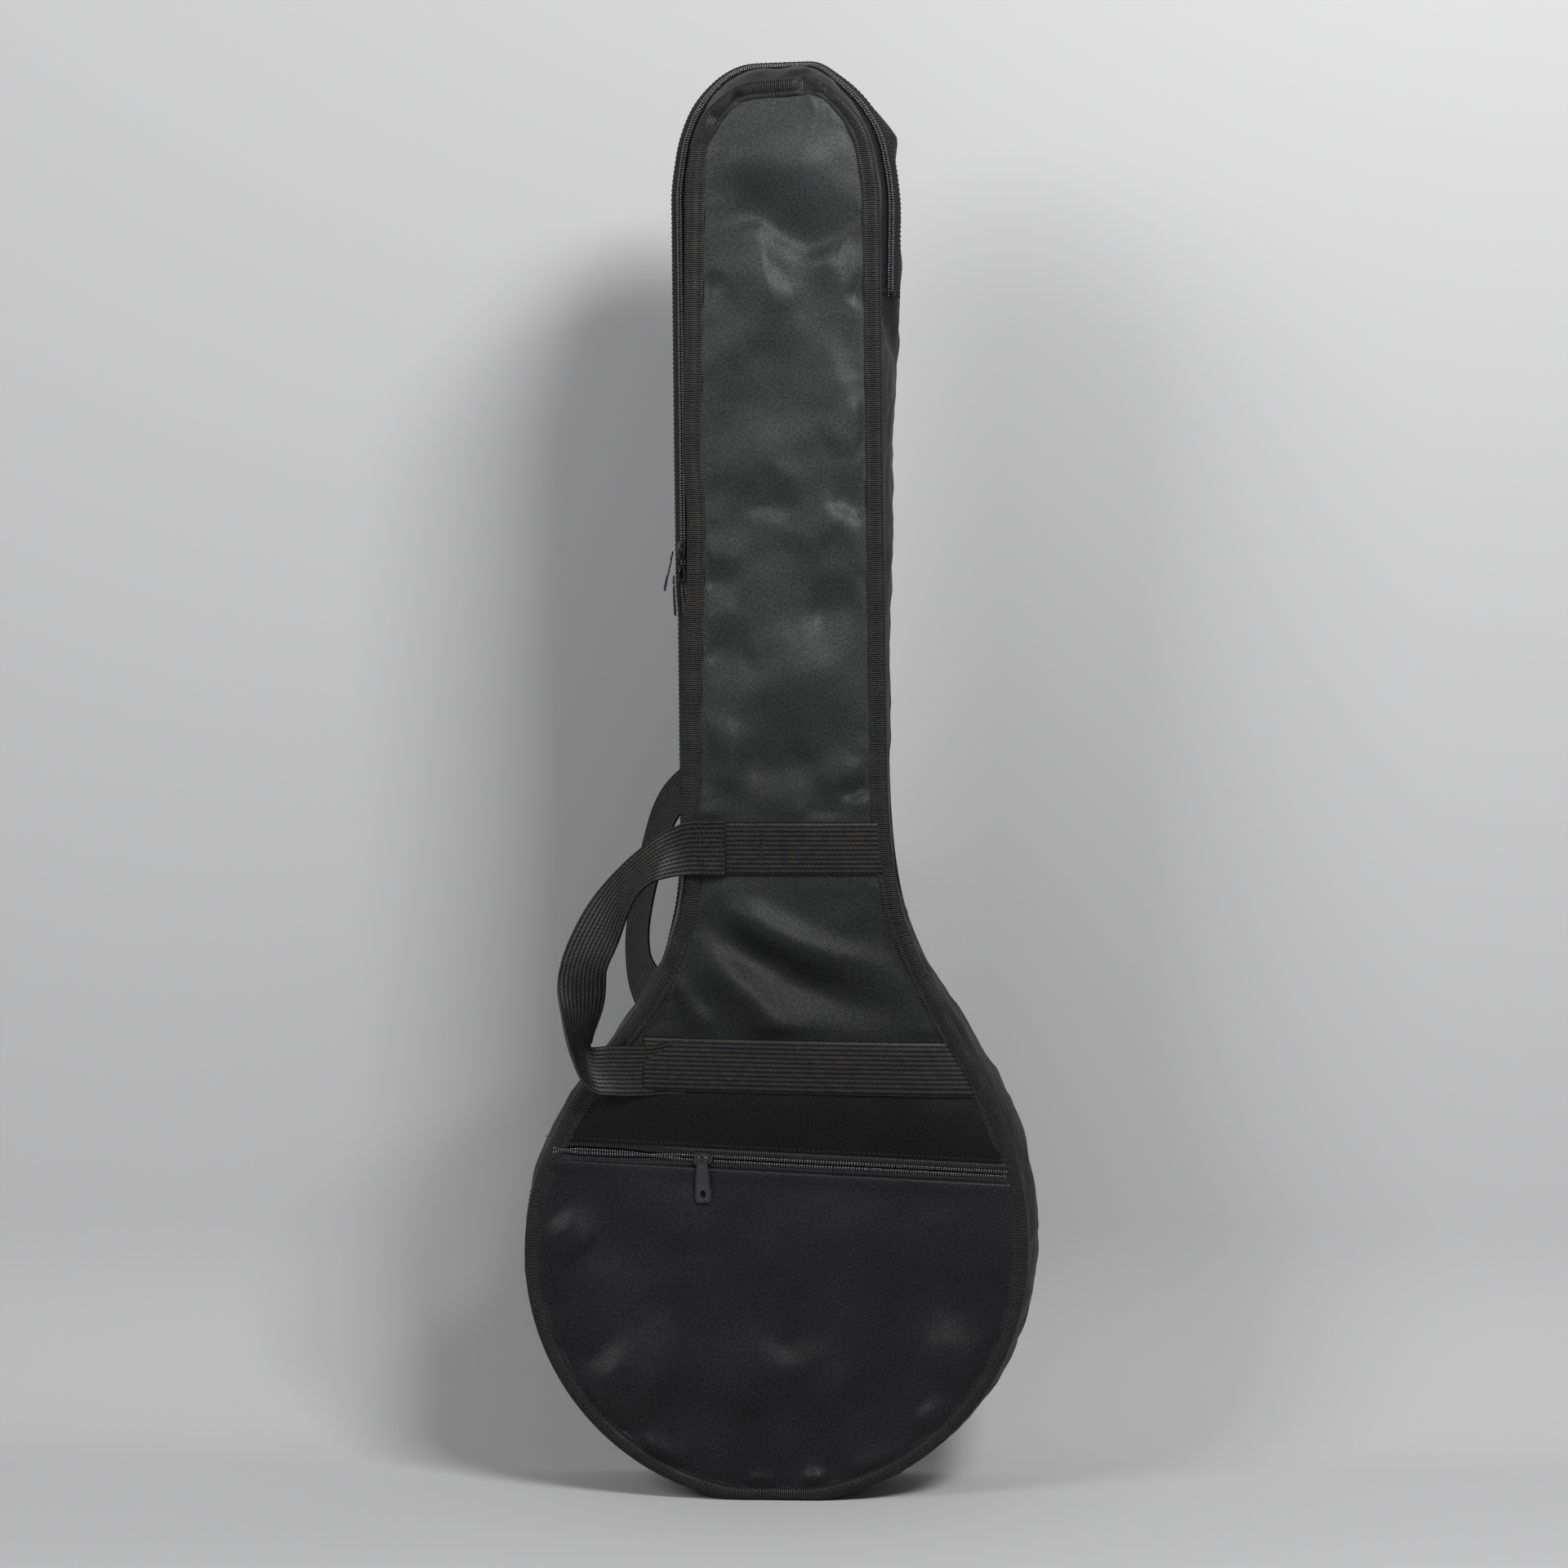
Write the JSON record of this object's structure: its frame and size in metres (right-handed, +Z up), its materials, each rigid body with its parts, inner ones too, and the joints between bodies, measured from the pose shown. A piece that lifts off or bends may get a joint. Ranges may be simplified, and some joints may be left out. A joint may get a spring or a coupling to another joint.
{
  "type": "banjo in gig bag",
  "caption": "Open-back banjo packed upright in its soft zipped gig bag with front pocket, webbing straps and two carrying handles.",
  "frame": {"origin": "middle of the flat foot that the bag stands on", "axes": "+Z up along the neck, -Y out of the front panel, +X to the right seen from the front"},
  "size_m": [0.3728, 0.1845, 1.0369],
  "materials": {
    "bag_cloth": "woven nylon, satin",
    "bag_padding": "foam with a knit lining",
    "binding_tape": "ribbed tape",
    "zip_tape": "fine weave",
    "webbing": "ribbed webbing",
    "zip_coil": "moulded coil",
    "zip_metal": "black lacquer",
    "pull_gunmetal": "dark gloss",
    "maple": "satin",
    "dark_wood": "satin",
    "brass": "polished",
    "head_film": "frosted",
    "nickel": "plated",
    "pearl": "gloss",
    "bone": "satin",
    "string_steel": "plain"
  },
  "bodies": {
    "packed bag": {"front_panel": "bag_cloth", "front_padding": "bag_padding", "back_panel": "bag_cloth", "back_padding": "bag_padding", "side_gusset": "bag_cloth", "zip_gusset_front": "bag_cloth", "zip_gusset_back": "bag_cloth", "main_zip_front_tape": "zip_tape", "main_zip_front_coil": "zip_coil", "main_zip_back_tape": "zip_tape", "main_zip_back_coil": "zip_coil", "main_zip_end_stops": "zip_metal", "pocket_panel": "bag_cloth", "pocket_zip_upper_tape": "zip_tape", "pocket_zip_upper_coil": "zip_coil", "pocket_zip_lower_tape": "zip_tape", "pocket_zip_lower_coil": "zip_coil", "front_upper_strap": "webbing", "front_lower_strap": "webbing", "back_upper_strap": "webbing", "back_lower_strap": "webbing", "front_binding": "binding_tape", "back_binding": "binding_tape", "rim": "maple", "tone_ring": "brass", "drum_head": "head_film", "tension_hoop": "nickel", "bracket_shoes": "nickel", "bracket_hooks": "nickel", "bracket_nuts": "nickel", "coordinator_rod": "nickel", "rod_nuts": "nickel", "neck": "maple", "fingerboard": "dark_wood", "frets": "nickel", "position_dots": "pearl", "string_nut": "bone", "tuner_housings": "nickel", "bridge": "maple", "tailpiece": "nickel", "strings": "string_steel"},
    "main zip upper slider": {"main_zip_upper_slider": "zip_metal"},
    "main zip upper pull": {"main_zip_upper_pull": "zip_metal"},
    "main zip lower slider": {"main_zip_lower_slider": "zip_metal"},
    "main zip lower pull": {"main_zip_lower_pull": "zip_metal"},
    "pocket zip slider": {"pocket_zip_slider": "zip_metal"},
    "pocket zip pull": {"pocket_zip_pull": "pull_gunmetal"},
    "front handle": {"front_handle": "webbing"},
    "back handle": {"back_handle": "webbing"},
    "tuner post 1": {"tuner_post_1": "nickel"},
    "tuner button 1": {"tuner_button_1": "bone"},
    "tuner post 2": {"tuner_post_2": "nickel"},
    "tuner button 2": {"tuner_button_2": "bone"},
    "tuner post 3": {"tuner_post_3": "nickel"},
    "tuner button 3": {"tuner_button_3": "bone"},
    "tuner post 4": {"tuner_post_4": "nickel"},
    "tuner button 4": {"tuner_button_4": "bone"},
    "fifth tuner": {"fifth_tuner": "nickel"}
  },
  "joints": [
    {"name": "main_zip_upper_slide", "type": "slide", "parent": "packed bag", "child": "main zip upper slider", "axis": [-0.0099, 0, 1], "range_m": [0, 0.25]},
    {"name": "main_zip_upper_pull_lift", "type": "hinge", "parent": "main zip upper slider", "child": "main zip upper pull", "pos_m": [-0.07636, 0, 0.68361], "axis": [0, 1, 0], "range_deg": [0, 140]},
    {"name": "main_zip_lower_slide", "type": "slide", "parent": "packed bag", "child": "main zip lower slider", "axis": [-0.0099, 0, 1], "range_m": [-0.19, 0]},
    {"name": "main_zip_lower_pull_lift", "type": "hinge", "parent": "main zip lower slider", "child": "main zip lower pull", "pos_m": [-0.07619, 0, 0.66611], "axis": [0, 1, 0], "range_deg": [0, 25]},
    {"name": "pocket_zip_slide", "type": "slide", "parent": "packed bag", "child": "pocket zip slider", "axis": [0.9988, 0, -0.0489], "range_m": [-0.085, 0.195]},
    {"name": "pocket_zip_pull_lift", "type": "hinge", "parent": "pocket zip slider", "child": "pocket zip pull", "pos_m": [-0.053, -0.0568, 0.24709], "axis": [-0.9988, 0, 0.0489], "range_deg": [0, 170]},
    {"name": "front_handle_swing", "type": "hinge", "parent": "packed bag", "child": "front handle", "pos_m": [-0.07, -0.0544, 0.387], "axis": [0.2514, 0, 0.9679], "range_deg": [0, 70]},
    {"name": "back_handle_swing", "type": "hinge", "parent": "packed bag", "child": "back handle", "pos_m": [-0.07, 0.0538, 0.424], "axis": [0.2514, 0, 0.9679], "range_deg": [-20, 58]},
    {"name": "tuner_1_button_turn", "type": "hinge", "parent": "packed bag", "child": "tuner button 1", "pos_m": [-0.019, 0.00234, 0.84113], "axis": [1, 0, 0], "continuous": true},
    {"name": "tuner_1_post_turn", "type": "hinge", "parent": "packed bag", "child": "tuner post 1", "pos_m": [-0.012, -0.00882, 0.84392], "axis": [0, 0.9703, -0.2419], "continuous": true},
    {"name": "tuner_2_button_turn", "type": "hinge", "parent": "packed bag", "child": "tuner button 2", "pos_m": [0.025, 0.00234, 0.84113], "axis": [1, 0, 0], "continuous": true},
    {"name": "tuner_2_post_turn", "type": "hinge", "parent": "packed bag", "child": "tuner post 2", "pos_m": [0.018, -0.00882, 0.84392], "axis": [0, 0.9703, -0.2419], "continuous": true},
    {"name": "tuner_3_button_turn", "type": "hinge", "parent": "packed bag", "child": "tuner button 3", "pos_m": [-0.019, 0.01734, 0.90129], "axis": [1, 0, 0], "continuous": true},
    {"name": "tuner_3_post_turn", "type": "hinge", "parent": "packed bag", "child": "tuner post 3", "pos_m": [-0.012, 0.00618, 0.90407], "axis": [0, 0.9703, -0.2419], "continuous": true},
    {"name": "tuner_4_button_turn", "type": "hinge", "parent": "packed bag", "child": "tuner button 4", "pos_m": [0.025, 0.01734, 0.90129], "axis": [1, 0, 0], "continuous": true},
    {"name": "tuner_4_post_turn", "type": "hinge", "parent": "packed bag", "child": "tuner post 4", "pos_m": [0.018, 0.00618, 0.90407], "axis": [0, 0.9703, -0.2419], "continuous": true},
    {"name": "fifth_tuner_turn", "type": "hinge", "parent": "packed bag", "child": "fifth tuner", "pos_m": [-0.0175, -0.0175, 0.62963], "axis": [1, 0, 0], "continuous": true}
  ],
  "couplings": [
    {"joint": "tuner_1_post_turn", "follows": "tuner_1_button_turn", "ratio": 0.071429},
    {"joint": "tuner_2_post_turn", "follows": "tuner_2_button_turn", "ratio": 0.071429},
    {"joint": "tuner_3_post_turn", "follows": "tuner_3_button_turn", "ratio": 0.071429},
    {"joint": "tuner_4_post_turn", "follows": "tuner_4_button_turn", "ratio": 0.071429}
  ]
}
